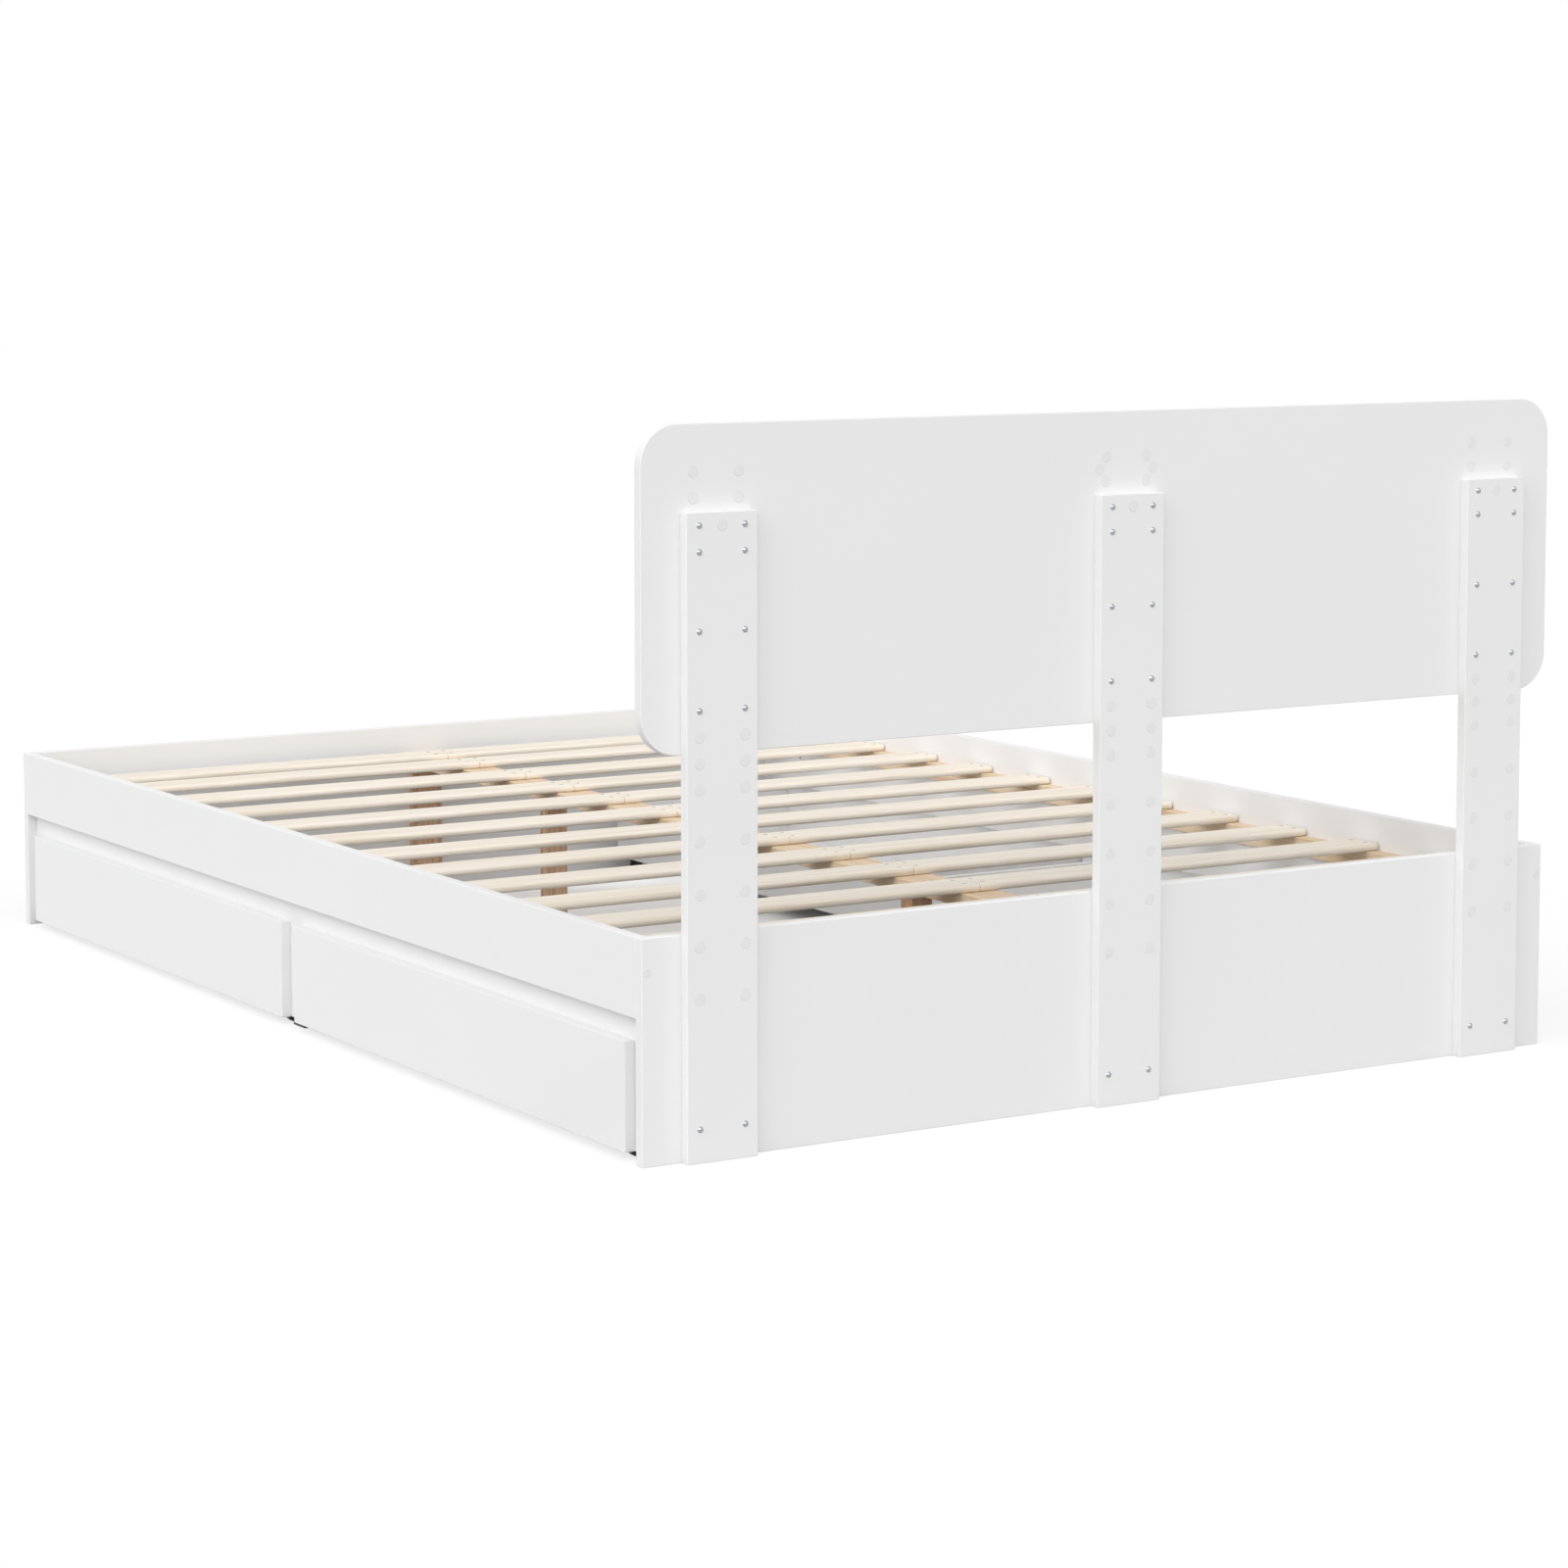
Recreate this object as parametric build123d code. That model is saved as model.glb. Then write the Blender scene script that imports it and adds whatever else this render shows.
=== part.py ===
from build123d import *
import os
from math import asin, cos, sin

# Double bed frame of foil-faced board, with a headboard on three posts, two rows of half slats on
# a centre beam and four drawers on castors. Millimetres. X runs across the bed, and right is +X,
# as seen from the foot. Y runs from foot to head. Z is up from the floor, from the middle of the plan.

# Boards of the mattress frame
bed_width = 1435.0            # over the end boards
bed_length = 2035.0           # over the end boards, without the posts behind them
board_thick = 15.0
edge_round = 1.0              # softened edge of every board
end_board_height = 281.0
rail_height = 100.0           # side rail, flush with the top of the end boards

# Headboard and its posts
headboard_height = 400.0
headboard_lift = 500.0        # floor to the lower edge of the panel
headboard_corner = 50.0
post_width = 100.0
post_thick = 15.0
post_overlap = 294.0          # length of a post that lies behind the panel
post_inset = 55.0             # side of the bed to the outer edge of a side post

# Screws and the row of holes that the posts share
hole_pitch = 32.0
hole_column_gap = 64.0        # between the two columns of holes on a post
post_top_margin = 16.0        # top of a post to its first row of screws
panel_low_margin = 54.0       # least distance from the panel's lower edge to a screw
post_foot_screw = 42.0        # floor to the lowest row of screws
screw_head_radius = 4.0
screw_head_height = 2.5
screw_radius = 2.0
screw_bite = 10.0             # length of thread in the board behind
screw_play = 0.1              # radial play of a screw in its hole
screw_tip_room = 1.0          # empty end of a blind hole
screw_sink = 0.2              # face of a slat to the flat head of the screw sunk in it

# Plugs that close the unused holes
plug_radius = 7.0
plug_thick = 2.0
plug_proud = 0.3
plug_play = 0.15
corner_plug_radius = 5.0      # over the bolts that hold the side rails
corner_bolt_drop = 43.0       # top of an end board to those bolts
corner_bolt_radius = 3.0
corner_bolt_bite = 40.0
headboard_plug_rows = 2       # rows of plugs above each side post
crescent_bulge = 10.0         # outward step of the middle plugs above the middle post
post_plug_rows = (8, 9, 10, 12, 14, 16, 18)   # counted in hole pitches below the first screws

# Slats, cleats, centre beam and its supports
slat_drop = 40.0              # top of a side rail to the top of the slats
slat_width = 64.0
slat_thick = 11.0
slat_round = 5.0
slat_count = 13
slat_end_gap = 30.0           # end board to the first slat
slat_end_step = 117.0         # first slat to the second, centre to centre
slat_side_gap = 3.0           # side rail to the end of a slat
slat_joint_gap = 1.0          # between the two halves over the beam
slat_screw_spread = 30.0      # between the two screws in one end of a half slat
slat_screw_inset = 10.0       # end of a slat to its screws on the cleat
slat_beam_inset = 14.0        # middle joint to the screws on the beam
cleat_thick = 22.0
cleat_height = 27.0
cleat_end_gap = 5.0
beam_width = 60.0
beam_thick = 18.0
beam_end_gap = 1.0
support_width = 55.0          # plank under each end of the beam
support_thick = 15.0
support_screw_spread = 36.0
support_screw_heights = (40.0, 118.0)
leg_width = 35.0              # across the bed
leg_depth = 28.0              # along the bed
leg_spacing = 533.0

# Drawers
drawer_end_gap = 28.0         # drawer front to the end board
drawer_middle_gap = 41.0      # between the fronts of one side
drawer_floor_gap = 11.0
finger_gap = 32.0             # drawer front to the side rail above it
drawer_depth = 360.0          # outer face of the front to outer face of the back
box_inset = 15.0              # end of the front to the side of the box
box_height = 100.0
box_thick = 12.0
bottom_thick = 4.0
bottom_lift = 8.0             # lower edge of a side to the bottom panel
groove_depth = 5.0
groove_play = 0.2

# Fixed frame behind the drawer fronts
drawer_rail_lap = 10.0        # height of a drawer front that covers the rail behind it
stile_width = 50.0            # upright between two drawers
end_stile_width = 33.0        # upright beside an end board
glide_length = 36.0           # moulded foot under a middle upright
glide_thick = 12.0

# Castors
castor_height = 30.0          # floor to the lower edge of the drawer's sides
castor_plate_length = 44.0
castor_plate_lead = 12.0      # axle to the plate's edge on the side of the drawer front
castor_plate_width = 24.0
castor_plate_thick = 3.0
cheek_thick = 3.0
cheek_length = 13.0
wheel_radius = 11.0
wheel_width = 10.0
wheel_round = 1.5
wheel_side_play = 0.8
axle_radius = 2.5
axle_play = 0.1
front_castor_setback = 13.0   # inner face of the front to the wheel's axle
rear_castor_setback = 34.0    # outer face of the back to the wheel's axle

# Places that follow from the sizes
total_length = plug_proud + bed_length + post_thick + screw_head_height
foot_face = plug_proud - total_length / 2
head_face = foot_face + bed_length
foot_inner = foot_face + board_thick
head_inner = head_face - board_thick
bed_middle = (foot_inner + head_inner) / 2
inner_length = head_inner - foot_inner
half_width = bed_width / 2
rail_inner = half_width - board_thick
slat_top = end_board_height - slat_drop
slat_bottom = slat_top - slat_thick
beam_bottom = slat_bottom - beam_thick
rail_bottom = end_board_height - rail_height
cleat_bottom = slat_bottom - cleat_height
front_top = rail_bottom - finger_gap
drawer_rail_bottom = front_top - drawer_rail_lap
cleat_inner = rail_inner - cleat_thick
stile_inner = rail_inner - board_thick
post_height = headboard_lift + post_overlap
post_back = head_face + post_thick
post_centres = {
    "right": half_width - post_inset - post_width / 2,
    "middle": 0.0,
    "left": -(half_width - post_inset - post_width / 2),
}
column_offsets = (-hole_column_gap / 2, hole_column_gap / 2)
first_row = post_height - post_top_margin

os.makedirs("parts", exist_ok=True)


def save(node, *solids):
    """Write one node, which holds one piece or a group of like pieces."""
    shape = solids[0] if len(solids) == 1 else Compound(children=list(solids))
    export_step(shape, f"parts/{node}.step")


def block(x_range, y_range, z_range):
    """A box between two corners."""
    sizes = [high - low for low, high in (x_range, y_range, z_range)]
    middle = [(high + low) / 2 for low, high in (x_range, y_range, z_range)]
    return Pos(*middle) * Box(*sizes)


def board(x_range, y_range, z_range, soft=edge_round):
    """A box with softened edges."""
    shape = block(x_range, y_range, z_range)
    return fillet(shape.edges(), soft)


def facing(point, direction):
    """A place whose Z axis points in the given direction."""
    return Plane(origin=point, z_dir=direction).location


def hole(point, direction, radius, depth):
    """A round cutter that goes in from a face, against the direction that the face looks."""
    return facing(point, direction) * Pos(0, 0, -depth / 2) * Cylinder(radius, depth)


def screw(point, direction, grip):
    """A domed screw whose head sits on a face; the grip is the thickness that it clamps."""
    length = grip + screw_bite
    dome = (screw_head_radius ** 2 + screw_head_height ** 2) / (2 * screw_head_height)
    half_angle = asin(screw_head_radius / dome) / 2
    crown = (dome * sin(half_angle), screw_head_height - dome + dome * cos(half_angle))
    outline = Polyline(
        (0, screw_head_height),
        (0, -length),
        (screw_radius, -length),
        (screw_radius, 0),
        (screw_head_radius, 0),
    )
    outline += ThreePointArc((screw_head_radius, 0), crown, (0, screw_head_height))
    solid = revolve(Plane.XZ * make_face(outline), Axis.Z)
    return facing(point, direction) * solid


def screw_hole(point, direction, grip):
    """The hole for such a screw, through the clamped piece and into the one behind."""
    return hole(point, direction, screw_radius + screw_play, grip + screw_bite + screw_tip_room)


def sunk_screw(point, direction, grip, play=0.0, room=0.0):
    """A screw with a flat head sunk below a face; play and room make it the cutter for its hole."""
    shank = screw_radius + play
    rim = screw_head_radius + play
    throat = -screw_sink - (rim - shank)
    low = -(grip + screw_bite + room)
    outline = Polyline(
        (0, -screw_sink), (0, low), (shank, low), (shank, throat), (rim, -screw_sink), (0, -screw_sink)
    )
    solid = revolve(Plane.XZ * make_face(outline), Axis.Z)
    return facing(point, direction) * solid


def sunk_hole(point, direction, grip):
    """The hole for a sunk screw, open up to the face."""
    cone = sunk_screw(point, direction, grip, screw_play, screw_tip_room)
    return cone + hole(point, direction, screw_head_radius + screw_play, screw_sink)


def plug(point, direction, radius=plug_radius):
    """A thin disc that closes a hole and stands a little proud of the face."""
    disc = Cylinder(radius, plug_thick + plug_proud)
    disc = fillet(disc.edges().sort_by(Axis.Z)[-1], plug_proud)
    return facing(point, direction) * Pos(0, 0, (plug_proud - plug_thick) / 2) * disc


def plug_seat(point, direction, radius=plug_radius):
    """The shallow seat for a plug."""
    return hole(point, direction, radius + plug_play, plug_thick)


back = (0, 1, 0)
front = (0, -1, 0)
up = (0, 0, 1)

# Holes of the posts: two columns of screws in rows of the common pitch
panel_rows = int((post_overlap - post_top_margin - panel_low_margin) / hole_pitch)
panel_screw_rows = (0, 1, (panel_rows + 1) // 2, panel_rows)
panel_screw_heights = [first_row - hole_pitch * row for row in panel_screw_rows]
post_points = {}
for name, centre in post_centres.items():
    heights = panel_screw_heights + [post_foot_screw]
    post_points[name] = [(centre + step, post_back, z) for z in heights for step in column_offsets]
all_post_points = [point for points in post_points.values() for point in points]
all_post_holes = [screw_hole(point, back, post_thick) for point in all_post_points]

# Plugs in the posts, below the screws, and one between the two screws of the first row
post_plug_points = {}
for name, centre in post_centres.items():
    heights = [first_row - hole_pitch * row for row in post_plug_rows]
    points = [(centre + step, post_back, z) for z in heights for step in column_offsets]
    post_plug_points[name] = points + [(centre, post_back, first_row)]

# Plugs in the back of the panel: straight pairs over the side posts, two crescents over the middle one
panel_plug_points = []
for name, centre in post_centres.items():
    for row in range(1, headboard_plug_rows + 1):
        height = first_row + hole_pitch * row
        panel_plug_points += [(centre + step, head_face, height) for step in column_offsets]
crescent_height = first_row + hole_pitch * (1 + headboard_plug_rows) / 2
for step in column_offsets:
    bulge = crescent_bulge if step > 0 else -crescent_bulge
    panel_plug_points.append((step + bulge, head_face, crescent_height))

# Bolts through the end boards into the ends of the side rails, each under a plug
bolt_height = end_board_height - corner_bolt_drop
bolt_sides = (half_width - board_thick / 2, board_thick / 2 - half_width)
bolt_grip = board_thick - plug_thick
head_bolts = [(x, head_face - plug_thick, bolt_height) for x in bolt_sides]
foot_bolts = [(x, foot_face + plug_thick, bolt_height) for x in bolt_sides]
head_corner_points = [(x, head_face, bolt_height) for x in bolt_sides]
foot_corner_points = [(x, foot_face, bolt_height) for x in bolt_sides]


def bolt(point, direction, play=0.0, room=0.0):
    """A headless bolt from the end board into a rail, or its hole when play and room are given."""
    return hole(point, direction, corner_bolt_radius + play, bolt_grip + corner_bolt_bite + room)


corner_bolts = [bolt(point, back) for point in head_bolts] + [bolt(point, front) for point in foot_bolts]
bolt_holes = [bolt(point, back, screw_play, screw_tip_room) for point in head_bolts]
bolt_holes += [bolt(point, front, screw_play, screw_tip_room) for point in foot_bolts]

# Planks under the ends of the beam, each held to its end board by two pairs of screws
support_places = ((head_inner, -1), (foot_inner, 1))
support_points = []
for face, inward in support_places:
    for z in support_screw_heights:
        for x in (-support_screw_spread / 2, support_screw_spread / 2):
            support_points.append(((x, face + inward * support_thick, z), (0, inward, 0)))
support_holes = [screw_hole(point, direction, support_thick) for point, direction in support_points]

# End boards
head_end_board = board((-half_width, half_width), (head_inner, head_face), (0, end_board_height))
head_end_board -= all_post_holes + support_holes + bolt_holes
head_end_board -= [plug_seat(point, back, corner_plug_radius) for point in head_corner_points]
save("head_end_board", head_end_board)

foot_end_board = board((-half_width, half_width), (foot_face, foot_inner), (0, end_board_height))
foot_end_board -= support_holes + bolt_holes
foot_end_board -= [plug_seat(point, front, corner_plug_radius) for point in foot_corner_points]
save("foot_end_board", foot_end_board)

# Slat rows: even steps between two rows that sit close to the ends
last_slat = inner_length / 2 - slat_end_gap - slat_width / 2
next_slat = last_slat - slat_end_step
even_step = 2 * next_slat / (slat_count - 3)
even_rows = [even_step * index - next_slat for index in range(slat_count - 2)]
slat_rows = [bed_middle + offset for offset in [-last_slat] + even_rows + [last_slat]]
slat_end = rail_inner - slat_side_gap
slat_start = slat_joint_gap / 2

# Screws that hold the cleats to the side rails, one in the middle of every gap between slats, and below
# every other one a screw that holds the drawer rail
cleat_screw_height = slat_bottom - cleat_height / 2
cleat_screw_rows = [(a + b) / 2 for a, b in zip(slat_rows, slat_rows[1:])]
drawer_rail_screw_height = (cleat_bottom + rail_bottom) / 2

# Side rails, and along their inner faces the cleats and the drawer rails that close the finger gaps
screws = [screw(point, back, post_thick) for point in all_post_points]
screws += [screw(point, direction, support_thick) for point, direction in support_points]
cleats = {}
for name, side in (("right", 1), ("left", -1)):
    inward = (-side, 0, 0)
    points = [(side * cleat_inner, y, cleat_screw_height) for y in cleat_screw_rows]
    holes = [screw_hole(point, inward, cleat_thick) for point in points]
    screws += [screw(point, inward, cleat_thick) for point in points]
    low_points = [(side * stile_inner, y, drawer_rail_screw_height) for y in cleat_screw_rows[::2]]
    low_holes = [screw_hole(point, inward, board_thick) for point in low_points]
    screws += [screw(point, inward, board_thick) for point in low_points]
    rail_x = sorted((side * rail_inner, side * half_width))
    rail = board(rail_x, (foot_inner, head_inner), (rail_bottom, end_board_height))
    save(f"side_rail_{name}", rail - holes - low_holes - bolt_holes)
    cleat_x = sorted((side * cleat_inner, side * rail_inner))
    cleat_y = (foot_inner + cleat_end_gap, head_inner - cleat_end_gap)
    cleats[name] = board(cleat_x, cleat_y, (cleat_bottom, slat_bottom)) - holes
    stile_x = sorted((side * stile_inner, side * rail_inner))
    drawer_rail = board(stile_x, (foot_inner, head_inner), (drawer_rail_bottom, cleat_bottom))
    save(f"drawer_rail_{name}", drawer_rail - low_holes)

# Uprights below the drawer rails: one between the two drawers of a side, on a glide, and one at each end
stiles = []
glides = []
stile_z = (drawer_floor_gap, drawer_rail_bottom)
for side in (1, -1):
    stile_x = sorted((side * stile_inner, side * rail_inner))
    stiles.append(board(stile_x, (bed_middle - stile_width / 2, bed_middle + stile_width / 2), stile_z))
    stiles.append(board(stile_x, (foot_inner, foot_inner + end_stile_width), stile_z))
    stiles.append(board(stile_x, (head_inner - end_stile_width, head_inner), stile_z))
    glide_x = (sum(stile_x) / 2 - glide_thick / 2, sum(stile_x) / 2 + glide_thick / 2)
    glide_y = (bed_middle - glide_length / 2, bed_middle + glide_length / 2)
    glides.append(board(glide_x, glide_y, (0, drawer_floor_gap)))
save("drawer_stiles", *stiles)
save("stile_glides", *glides)

# Half slats, screwed down on the cleats and on the beam, one row to a node
slat_holes = []
for index, y in enumerate(slat_rows):
    halves = []
    for side in (1, -1):
        x_range = sorted((side * slat_start, side * slat_end))
        slat = block(x_range, (y - slat_width / 2, y + slat_width / 2), (slat_bottom, slat_top))
        slat = fillet(slat.edges().filter_by(Axis.X), slat_round)
        places = (slat_start + slat_beam_inset, slat_end - slat_screw_inset)
        steps = (-slat_screw_spread / 2, slat_screw_spread / 2)
        points = [(side * x, y + step, slat_top) for x in places for step in steps]
        holes = [sunk_hole(point, up, slat_thick) for point in points]
        screws += [sunk_screw(point, up, slat_thick) for point in points]
        slat_holes += holes
        halves.append(slat - holes)
    save(f"slat_{index + 1:02d}", *halves)

for name, cleat in cleats.items():
    save(f"slat_cleat_{name}", cleat - slat_holes)

# Centre beam, its three legs and the planks under its ends
beam_y = (foot_inner + beam_end_gap, head_inner - beam_end_gap)
beam = board((-beam_width / 2, beam_width / 2), beam_y, (beam_bottom, slat_bottom))
save("centre_beam", beam - slat_holes)

supports = []
for face, inward in support_places:
    y_range = sorted((face, face + inward * support_thick))
    plank = board((-support_width / 2, support_width / 2), y_range, (0, beam_bottom))
    supports.append(plank - support_holes)
for offset in (-leg_spacing, 0, leg_spacing):
    y = bed_middle + offset
    y_range = (y - leg_depth / 2, y + leg_depth / 2)
    supports.append(board((-leg_width / 2, leg_width / 2), y_range, (0, beam_bottom)))
save("centre_supports", *supports)

# Headboard panel and posts
panel = extrude(RectangleRounded(bed_width, headboard_height, headboard_corner), board_thick)
panel = fillet(panel.edges().group_by(Axis.Z)[0] + panel.edges().group_by(Axis.Z)[-1], edge_round)
panel_middle = (0, head_inner, headboard_lift + headboard_height / 2)
panel = Plane(origin=panel_middle, x_dir=(1, 0, 0), z_dir=back).location * panel
panel -= all_post_holes + [plug_seat(point, back) for point in panel_plug_points]
save("headboard_panel", panel)

for name, centre in post_centres.items():
    sides = (centre - post_width / 2, centre + post_width / 2)
    post = board(sides, (head_face, post_back), (0, post_height))
    holes = [screw_hole(point, back, post_thick) for point in post_points[name]]
    seats = [plug_seat(point, back) for point in post_plug_points[name]]
    save(f"headboard_post_{name}", post - holes - seats)

# Fasteners and plugs
save("frame_screws", *screws)
save("corner_bolts", *corner_bolts)
plugs = [plug(point, back) for points in post_plug_points.values() for point in points]
plugs += [plug(point, back) for point in panel_plug_points]
plugs += [plug(point, back, corner_plug_radius) for point in head_corner_points]
plugs += [plug(point, front, corner_plug_radius) for point in foot_corner_points]
save("hole_plugs", *plugs)

# One drawer, with the outer face of its front at x = 0, reaching towards -X, and its middle at y = 0
front_length = (inner_length - 2 * drawer_end_gap - drawer_middle_gap) / 2
box_half = front_length / 2 - box_inset
box_inner = box_half - box_thick
box_top = castor_height + box_height
back_inner = box_thick - drawer_depth
bottom_z = castor_height + bottom_lift
bottom_range = (bottom_z, bottom_z + bottom_thick)
groove_range = (bottom_z - groove_play, bottom_z + bottom_thick + groove_play)
panel_tuck = groove_depth - groove_play
groove = block(
    (back_inner - groove_depth, groove_depth - board_thick),
    (-box_inner - groove_depth, box_inner + groove_depth),
    groove_range,
)
bottom_panel = block(
    (back_inner - panel_tuck, panel_tuck - board_thick),
    (-box_inner - panel_tuck, box_inner + panel_tuck),
    bottom_range,
)
drawer_front = board(
    (-board_thick, 0),
    (-front_length / 2, front_length / 2),
    (drawer_floor_gap, front_top),
)
side_plus = board((-drawer_depth, -board_thick), (box_inner, box_half), (castor_height, box_top))
side_minus = board((-drawer_depth, -board_thick), (-box_half, -box_inner), (castor_height, box_top))
drawer_back = board((-drawer_depth, back_inner), (-box_inner, box_inner), (castor_height, box_top))

# A castor, with its axle along Y through the origin of the plan: plate, cheeks and axle are one moulding
cheek_start = wheel_width / 2 + wheel_side_play
cheek_top = castor_height - castor_plate_thick
housing = block(
    (castor_plate_lead - castor_plate_length, castor_plate_lead),
    (-castor_plate_width / 2, castor_plate_width / 2),
    (cheek_top, castor_height),
)
for side in (1, -1):
    y_range = sorted((side * cheek_start, side * (cheek_start + cheek_thick)))
    housing += block((-cheek_length / 2, cheek_length / 2), y_range, (wheel_radius, cheek_top))
    cheek_end = Pos(0, sum(y_range) / 2, wheel_radius) * Rot(90, 0, 0)
    housing += cheek_end * Cylinder(cheek_length / 2, cheek_thick)
axle_length = 2 * (cheek_start + cheek_thick)
housing += Pos(0, 0, wheel_radius) * Rot(90, 0, 0) * Cylinder(axle_radius, axle_length)
wheel = Cylinder(wheel_radius, wheel_width)
wheel = fillet(wheel.edges(), wheel_round) - Cylinder(axle_radius + axle_play, wheel_width)
wheel = Pos(0, 0, wheel_radius) * Rot(90, 0, 0) * wheel
castor_line = box_half - box_thick / 2
front_axle = -board_thick - front_castor_setback
rear_axle = rear_castor_setback - drawer_depth
castor_ends = (castor_line, -castor_line)
housings = [Pos(x, y, 0) * housing for x in (front_axle, rear_axle) for y in castor_ends]
front_wheels = [Pos(front_axle, y, 0) * wheel for y in castor_ends]
rear_wheels = [Pos(rear_axle, y, 0) * wheel for y in castor_ends]

# The four drawers: two on each side, turned about Z on the left
drawer_step = (front_length + drawer_middle_gap) / 2
for side_name, side in (("right", 1), ("left", -1)):
    for end_name, end in (("head", 1), ("foot", -1)):
        place = Pos(side * half_width, bed_middle + end * drawer_step, 0) * Rot(0, 0, 90 * (1 - side))
        drawer = f"{side_name}_{end_name}_drawer"
        save(f"{drawer}_front", place * (drawer_front - groove))
        save(f"{drawer}_sides", place * (side_plus - groove), place * (side_minus - groove))
        save(f"{drawer}_back", place * (drawer_back - groove))
        save(f"{drawer}_bottom", place * bottom_panel)
        save(f"{drawer}_castor_housings", *[place * solid for solid in housings])
        save(f"{drawer}_front_wheels", *[place * solid for solid in front_wheels])
        save(f"{drawer}_rear_wheels", *[place * solid for solid in rear_wheels])
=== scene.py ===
import math

import bmesh
import bpy
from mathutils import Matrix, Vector

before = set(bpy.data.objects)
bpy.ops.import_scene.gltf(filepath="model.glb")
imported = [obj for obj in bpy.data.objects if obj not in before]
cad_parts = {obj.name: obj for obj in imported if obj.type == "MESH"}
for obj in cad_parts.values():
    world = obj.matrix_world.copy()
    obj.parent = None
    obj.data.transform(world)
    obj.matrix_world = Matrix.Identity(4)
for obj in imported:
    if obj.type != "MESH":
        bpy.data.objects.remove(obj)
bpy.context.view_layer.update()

# End boards and side rails: the box of the bed. Particle board with a smooth white foil pressed on its
# faces and edges, cut flush at the corners and bolted end board to rail. The foil is satin and nearly
# even to the eye, with a faint mottle and a trace of orange peel.
foil_light = "#EDEDED"
foil_shade = "#E9E9E9"
foil_roughness = 0.45
foil_mottle_mm = 350
foil_peel_mm = 5            # real orange peel is under 1 mm, drawn coarser so that it shows
foil_peel_height_mm = 0.02
foil_peel_strength = 0.3
foil_sheen_swing = 0.04
foil_ior = 1.46
mattress_frame = ("head_end_board", "foot_end_board", "side_rail_right", "side_rail_left")


def linear(hex_colour):
    """An sRGB hex colour as linear RGBA."""
    values = [int(hex_colour[i:i + 2], 16) / 255 for i in (1, 3, 5)]
    return [v / 12.92 if v <= 0.04045 else ((v + 0.055) / 1.055) ** 2.4 for v in values] + [1.0]


def add(tree, kind, settings, inputs):
    """Add a node with its settings. Each input, by name or number, is linked or set to a value.

    In a Mix node of two colours, inputs 6 and 7 are the colours and output 2 is the mixed colour.
    """
    node = tree.nodes.new(kind)
    for name, value in settings.items():
        setattr(node, name, value)
    for place, value in inputs.items():
        if isinstance(value, bpy.types.NodeSocket):
            tree.links.new(value, node.inputs[place])
        else:
            node.inputs[place].default_value = value
    return node


def new_material(name):
    """An empty node material: its tree, its Principled shader and its Object coordinates."""
    material = bpy.data.materials.new(name)
    material.use_nodes = True
    tree = material.node_tree
    shader = tree.nodes["Principled BSDF"]
    coords = tree.nodes.new("ShaderNodeTexCoord").outputs["Object"]
    return material, tree, shader, coords


def dress(material, names):
    """Give CAD nodes a finish."""
    for name in names:
        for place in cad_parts[name].material_slots:
            place.material = material


def white_foil(name, light, shade, roughness):
    """White satin plastic on a flat face: a faint mottle of two whites, and orange peel."""
    material, tree, shader, coords = new_material(name)
    cloud = {"Vector": coords, "Scale": 1000 / foil_mottle_mm, "Detail": 3.0}
    mottle = add(tree, "ShaderNodeTexNoise", {}, cloud).outputs["Fac"]
    whites = {"Factor": mottle, 6: linear(shade), 7: linear(light)}
    colour = add(tree, "ShaderNodeMix", {"data_type": "RGBA"}, whites)
    smooth = roughness - foil_sheen_swing
    dull = roughness + foil_sheen_swing
    sheen = add(tree, "ShaderNodeMapRange", {}, {"Value": mottle, "To Min": smooth, "To Max": dull})
    grit = {"Vector": coords, "Scale": 1000 / foil_peel_mm, "Detail": 1.0}
    peel = add(tree, "ShaderNodeTexNoise", {}, grit)
    peel_height = foil_peel_height_mm / 1000
    relief = {"Height": peel.outputs["Fac"], "Strength": foil_peel_strength, "Distance": peel_height}
    bump = add(tree, "ShaderNodeBump", {}, relief)
    tree.links.new(colour.outputs[2], shader.inputs["Base Color"])
    tree.links.new(sheen.outputs["Result"], shader.inputs["Roughness"])
    tree.links.new(bump.outputs["Normal"], shader.inputs["Normal"])
    shader.inputs["IOR"].default_value = foil_ior
    return material


board_foil = white_foil("white_foil_board", foil_light, foil_shade, foil_roughness)
dress(board_foil, mattress_frame)

# Headboard: one panel with round corners on three posts that stand on the floor behind it.
# The same foil-faced board, screwed from behind.
headboard = ("headboard_panel", "headboard_post_right", "headboard_post_middle", "headboard_post_left")
dress(board_foil, headboard)

# Plugs: thin moulded discs of white plastic that close the unused holes of the posts and boards.
# Pressed in by hand. A shade greyer and duller than the foil round them.
plug_light = "#E8E8E8"
plug_shade = "#E4E4E4"
plug_roughness = 0.5
dress(white_foil("white_plug_plastic", plug_light, plug_shade, plug_roughness), ("hole_plugs",))

# Cleats, centre beam and its supports: planed pine battens and planks that carry the slats, screwed on.
# Darker lines run along each batten, so the upright planks and legs have their grain upright. They are
# drawn darker and redder than the battens.
pine_light = "#EAD5BB"
pine_mid = "#E2C9AA"
pine_dark = "#D0AF88"
leg_light = "#DEBFA2"
leg_mid = "#D0A988"
leg_dark = "#B68966"
pine_roughness = 0.6
pine_ring_mm = 7
pine_run_mm = 260
pine_pore_mm = 1.6          # real pores are finer, drawn so that they show
pine_relief_mm = 0.12
wood_dark_at = 0.3
wood_mid_at = 0.48
wood_light_at = 0.7
wood_pore_run = 0.25        # length of a pore as a share of a streak
wood_pore_shade = 0.9
wood_pore_strength = 0.4
wood_sheen_swing = 0.08
along_length = 1
along_height = 2


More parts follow.
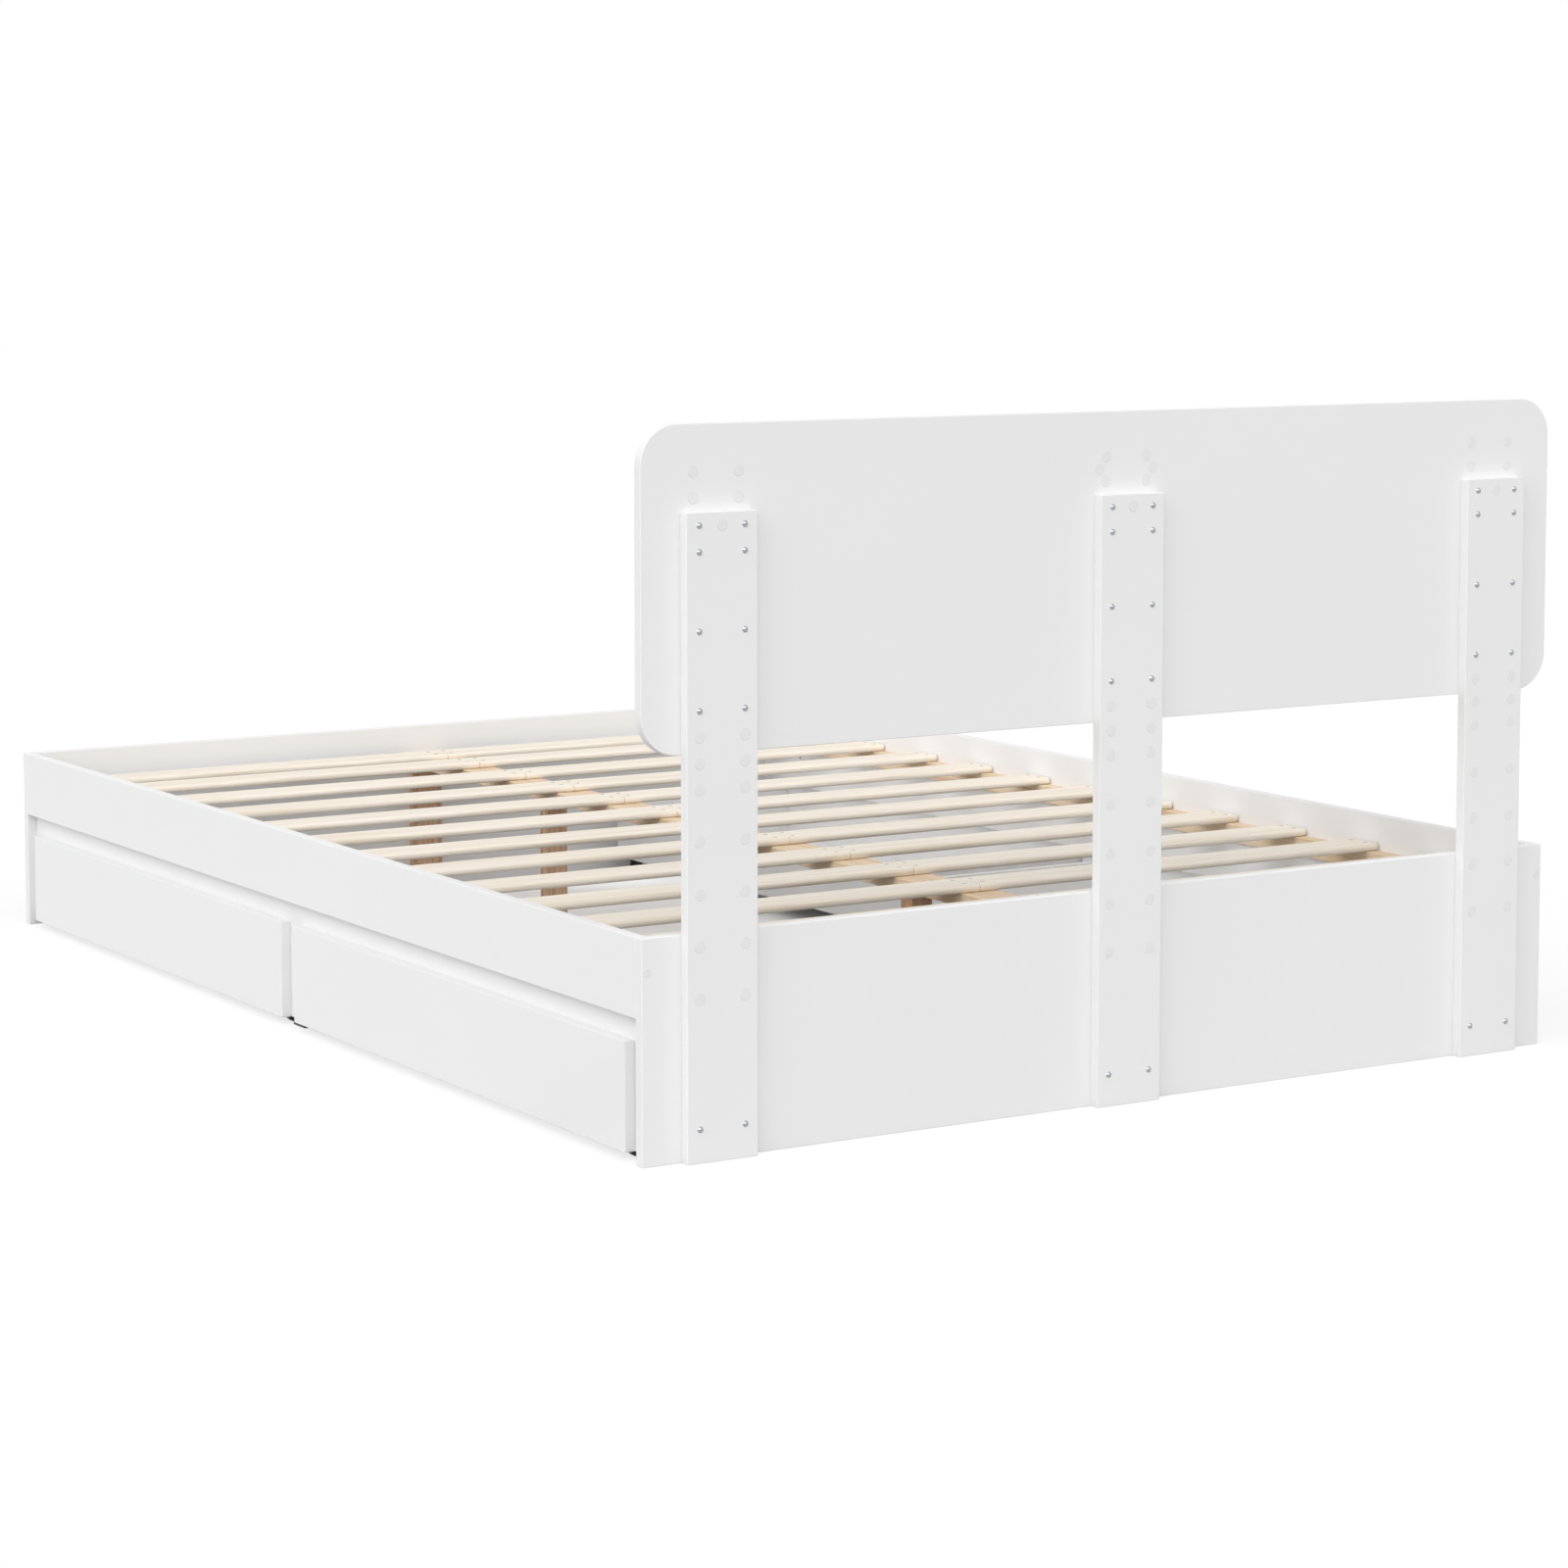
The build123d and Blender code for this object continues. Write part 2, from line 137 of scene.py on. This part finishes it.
def grained(name, colours, ring_mm, run_mm, pore_mm, along, roughness, relief_mm):
    """Sawn wood: long streaks of three tones along one axis, with fine pores, planed to a dull sheen."""
    material, tree, shader, coords = new_material(name)
    light, mid, dark = colours
    stretch = [1000 / ring_mm] * 3
    stretch[along] = 1000 / run_mm
    fine_stretch = [1000 / pore_mm] * 3
    fine_stretch[along] = 1000 / (run_mm * wood_pore_run)
    streak_place = add(tree, "ShaderNodeMapping", {}, {"Vector": coords, "Scale": stretch})
    streak_form = {"Vector": streak_place.outputs[0], "Scale": 1.0, "Detail": 4.0, "Distortion": 0.6}
    streak = add(tree, "ShaderNodeTexNoise", {}, streak_form).outputs["Fac"]
    pore_place = add(tree, "ShaderNodeMapping", {}, {"Vector": coords, "Scale": fine_stretch})
    pore_form = {"Vector": pore_place.outputs[0], "Scale": 1.0, "Detail": 2.0}
    pore = add(tree, "ShaderNodeTexNoise", {}, pore_form).outputs["Fac"]
    tones = add(tree, "ShaderNodeValToRGB", {}, {"Fac": streak})
    stops = tones.color_ramp.elements
    stops[0].position = wood_dark_at
    stops[0].color = linear(dark)
    stops[1].position = wood_light_at
    stops[1].color = linear(light)
    stops.new(wood_mid_at).color = linear(mid)
    fleck_range = {"Value": pore, "From Min": 0.3, "From Max": 0.5, "To Min": wood_pore_shade}
    fleck = add(tree, "ShaderNodeMapRange", {}, fleck_range)
    flecked = {"Vector": tones.outputs["Color"], "Scale": fleck.outputs[0]}
    colour = add(tree, "ShaderNodeVectorMath", {"operation": "SCALE"}, flecked)
    relief = {"Height": pore, "Strength": wood_pore_strength, "Distance": relief_mm / 1000}
    bump = add(tree, "ShaderNodeBump", {}, relief)
    smooth = roughness - wood_sheen_swing
    dull = roughness + wood_sheen_swing
    sheen = add(tree, "ShaderNodeMapRange", {}, {"Value": streak, "To Min": smooth, "To Max": dull})
    tree.links.new(colour.outputs[0], shader.inputs["Base Color"])
    tree.links.new(sheen.outputs[0], shader.inputs["Roughness"])
    tree.links.new(bump.outputs["Normal"], shader.inputs["Normal"])
    return material


pine_batten = grained(
    "planed_pine_batten",
    (pine_light, pine_mid, pine_dark),
    pine_ring_mm,
    pine_run_mm,
    pine_pore_mm,
    along_length,
    pine_roughness,
    pine_relief_mm,
)
pine_upright = grained(
    "planed_pine_upright",
    (leg_light, leg_mid, leg_dark),
    pine_ring_mm,
    pine_run_mm,
    pine_pore_mm,
    along_height,
    pine_roughness,
    pine_relief_mm,
)
dress(pine_batten, ("slat_cleat_right", "slat_cleat_left", "centre_beam"))
dress(pine_upright, ("centre_supports",))

# Slats: pale softwood with rounded long edges, sanded, two halves to a row. Each half is screwed to a
# cleat and to the centre beam. The grain runs across the bed and is faint.
slat_light = "#F6EDE0"
slat_mid = "#F1E7D8"
slat_dark = "#E5D8C5"
slat_roughness = 0.5
slat_ring_mm = 9
slat_run_mm = 420
slat_pore_mm = 2.0          # real pores are finer, drawn so that they show
slat_relief_mm = 0.08
across_bed = 0
slat_rows = [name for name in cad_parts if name.startswith("slat_") and name[5:].isdigit()]
slat_wood = grained(
    "sanded_slat_wood",
    (slat_light, slat_mid, slat_dark),
    slat_ring_mm,
    slat_run_mm,
    slat_pore_mm,
    across_bed,
    slat_roughness,
    slat_relief_mm,
)
dress(slat_wood, slat_rows)

# Drawer frame: rails that close the finger gaps below the side rails, and uprights between the drawers.
# White foil-faced board, screwed to the side rails from inside and doweled.
dress(board_foil, ("drawer_rail_right", "drawer_rail_left", "drawer_stiles"))

# Screws and bolts: zinc-plated steel, pressed and tumbled, with domed heads on the boards and sunk heads
# in the slats. Bright, with a soft highlight and a slight cloud in the plating.
zinc_light = "#B2B3B7"
zinc_shade = "#8E9094"
zinc_cloud_mm = 1.5
zinc_smooth = 0.15
zinc_dull = 0.27
zinc, tree, shader, coords = new_material("zinc_plated_steel")
cloud = {"Vector": coords, "Scale": 1000 / zinc_cloud_mm, "Detail": 2.0}
plating = add(tree, "ShaderNodeTexNoise", {}, cloud).outputs["Fac"]
greys = {"Factor": plating, 6: linear(zinc_shade), 7: linear(zinc_light)}
colour = add(tree, "ShaderNodeMix", {"data_type": "RGBA"}, greys)
sheen_range = {"Value": plating, "To Min": zinc_smooth, "To Max": zinc_dull}
sheen = add(tree, "ShaderNodeMapRange", {}, sheen_range)
tree.links.new(colour.outputs[2], shader.inputs["Base Color"])
tree.links.new(sheen.outputs[0], shader.inputs["Roughness"])
shader.inputs["Metallic"].default_value = 1.0
dress(zinc, ("frame_screws", "corner_bolts"))

# Drawers: open boxes that roll out from under the rails. Fronts, sides and backs are the same white
# board, doweled together, and the thin bottom with its white foil lies in a groove.
drawer_names = [f"{side}_{end}_drawer" for side in ("right", "left") for end in ("head", "foot")]
for drawer in drawer_names:
    dress(board_foil, [f"{drawer}_{piece}" for piece in ("front", "sides", "back", "bottom")])

# Castors and glides: housings screwed under the drawers with hard wheels that roll on the floor, and the
# feet under the uprights between the drawers. Black moulded plastic, slightly grained and half dull.
castor_black = "#1D1D1F"
castor_grey = "#2A2A2C"
castor_grain_mm = 3         # real moulded grain is finer, drawn so that it shows
castor_smooth = 0.35
castor_dull = 0.5
castor, tree, shader, coords = new_material("moulded_castor_plastic")
cloud = {"Vector": coords, "Scale": 1000 / castor_grain_mm, "Detail": 2.0}
grain = add(tree, "ShaderNodeTexNoise", {}, cloud).outputs["Fac"]
blacks = {"Factor": grain, 6: linear(castor_black), 7: linear(castor_grey)}
colour = add(tree, "ShaderNodeMix", {"data_type": "RGBA"}, blacks)
sheen_range = {"Value": grain, "To Min": castor_smooth, "To Max": castor_dull}
sheen = add(tree, "ShaderNodeMapRange", {}, sheen_range)
tree.links.new(colour.outputs[2], shader.inputs["Base Color"])
tree.links.new(sheen.outputs[0], shader.inputs["Roughness"])
for drawer in drawer_names:
    dress(castor, [f"{drawer}_{piece}" for piece in ("castor_housings", "front_wheels", "rear_wheels")])
dress(castor, ("stile_glides",))

# Studio floor: a plain white sheet that runs out to the surround. It shows white with a faint shadow,
# throws less light back than it shows, and has no glow of its own in the oval under the bed.
floor_white = "#FFFFFF"
floor_bounce = "#B0B0B0"
floor_reach = 30
floor_show = 0.75
shade_middle = (0, 0, 0)
shade_reach = (0.70, 1.00, 1)
shade_edge = 0.12


def seen_rays(tree):
    """One for the rays that show a surface to the eye: straight, mirrored or through glass."""
    rays = tree.nodes.new("ShaderNodeLightPath").outputs
    larger = {"operation": "MAXIMUM"}
    open_rays = add(tree, "ShaderNodeMath", larger, {0: rays["Is Camera Ray"], 1: rays["Is Glossy Ray"]})
    all_rays = {0: open_rays.outputs[0], 1: rays["Is Transmission Ray"]}
    return add(tree, "ShaderNodeMath", larger, all_rays).outputs[0]


floor_shape = bmesh.new()
bmesh.ops.create_grid(floor_shape, x_segments=1, y_segments=1, size=floor_reach)
floor_mesh = bpy.data.meshes.new("studio_floor")
floor_shape.to_mesh(floor_mesh)
floor_shape.free()
floor = bpy.data.objects.new("studio_floor", floor_mesh)
bpy.context.scene.collection.objects.link(floor)
floor_paint, tree, shader, ground = new_material("white_floor_paint")
tree.nodes.remove(shader)
seen = seen_rays(tree)
tones = {"Factor": seen, 6: linear(floor_bounce), 7: linear(floor_white)}
paint = add(tree, "ShaderNodeMix", {"data_type": "RGBA"}, tones)
lit = add(tree, "ShaderNodeBsdfDiffuse", {}, {"Color": paint.outputs[2]})
glow = add(tree, "ShaderNodeEmission", {}, {"Color": linear(floor_white), "Strength": 1.0})
oval_place = {"Vector": ground, "Location": shade_middle, "Scale": shade_reach}
oval = add(tree, "ShaderNodeMapping", {"vector_type": "TEXTURE"}, oval_place)
depth = add(tree, "ShaderNodeTexGradient", {"gradient_type": "SPHERICAL"}, {"Vector": oval.outputs[0]})
glow_range = {"Value": depth.outputs["Fac"], "From Max": shade_edge, "To Min": floor_show, "To Max": 0.0}
glow_share = add(tree, "ShaderNodeMapRange", {}, glow_range)
share = add(tree, "ShaderNodeMath", {"operation": "MULTIPLY"}, {0: seen, 1: glow_share.outputs[0]})
surface = add(tree, "ShaderNodeMixShader", {}, {0: share.outputs[0], 1: lit.outputs[0], 2: glow.outputs[0]})
tree.links.new(surface.outputs[0], tree.nodes["Material Output"].inputs["Surface"])
floor_mesh.materials.append(floor_paint)

# Studio light: a white surround that lights softly from all sides, and three broad lights, from the
# right of the bed, from behind the headboard and from the corner between them.
sky_level = 0.43
# For each light: its strength, its spread and the side that it comes from.
broad_lights = {
    "right_light": (1.2, math.radians(55), Vector((0.866, 0.0, 0.5))),
    "corner_light": (0.85, math.radians(60), Vector((0.6, 0.55, 0.58))),
    "rear_light": (1.24, math.radians(70), Vector((0.0, 0.766, 0.643))),
}
light_distance = 6
world = bpy.data.worlds.new("white_surround")
bpy.context.scene.world = world
world.use_nodes = True
tree = world.node_tree
level = add(tree, "ShaderNodeMapRange", {}, {"Value": seen_rays(tree), "To Min": sky_level, "To Max": 1.0})
sky = tree.nodes["Background"]
sky.inputs["Color"].default_value = linear(floor_white)
tree.links.new(level.outputs[0], sky.inputs["Strength"])
for name, (strength, spread, side) in broad_lights.items():
    light = bpy.data.lights.new(name, "SUN")
    light.energy = strength
    light.angle = spread
    lamp = bpy.data.objects.new(name, light)
    lamp.location = side * light_distance
    lamp.rotation_mode = "QUATERNION"
    lamp.rotation_quaternion = (-side).to_track_quat("-Z", "Y")
    bpy.context.scene.collection.objects.link(lamp)

# Camera: behind the headboard and a little above it, looking down on the right side of the bed.
# Its place, turn and lens were fitted to the edges of the bed in the photo.
camera_place = Vector((3.1032, 5.2105, 1.1384))
camera_heading = -0.55192
camera_tilt = 0.09137
camera_lens_px = 4143.8
camera_shift = -0.12
camera_far = 200
sensor_mm = 36
picture_px = 1600
camera = bpy.data.cameras.new("camera")
camera.sensor_width = sensor_mm
camera.lens = camera_lens_px * sensor_mm / picture_px
camera.shift_y = camera_shift
camera.clip_end = camera_far
eye = bpy.data.objects.new("camera", camera)
eye.location = camera_place
level_way = Vector((math.sin(camera_heading), -math.cos(camera_heading), 0))
way = level_way * math.cos(camera_tilt) - Vector((0, 0, math.sin(camera_tilt)))
eye.rotation_mode = "QUATERNION"
eye.rotation_quaternion = way.to_track_quat("-Z", "Y")
bpy.context.scene.collection.objects.link(eye)
bpy.context.scene.camera = eye
bpy.context.scene.view_settings.view_transform = "Standard"
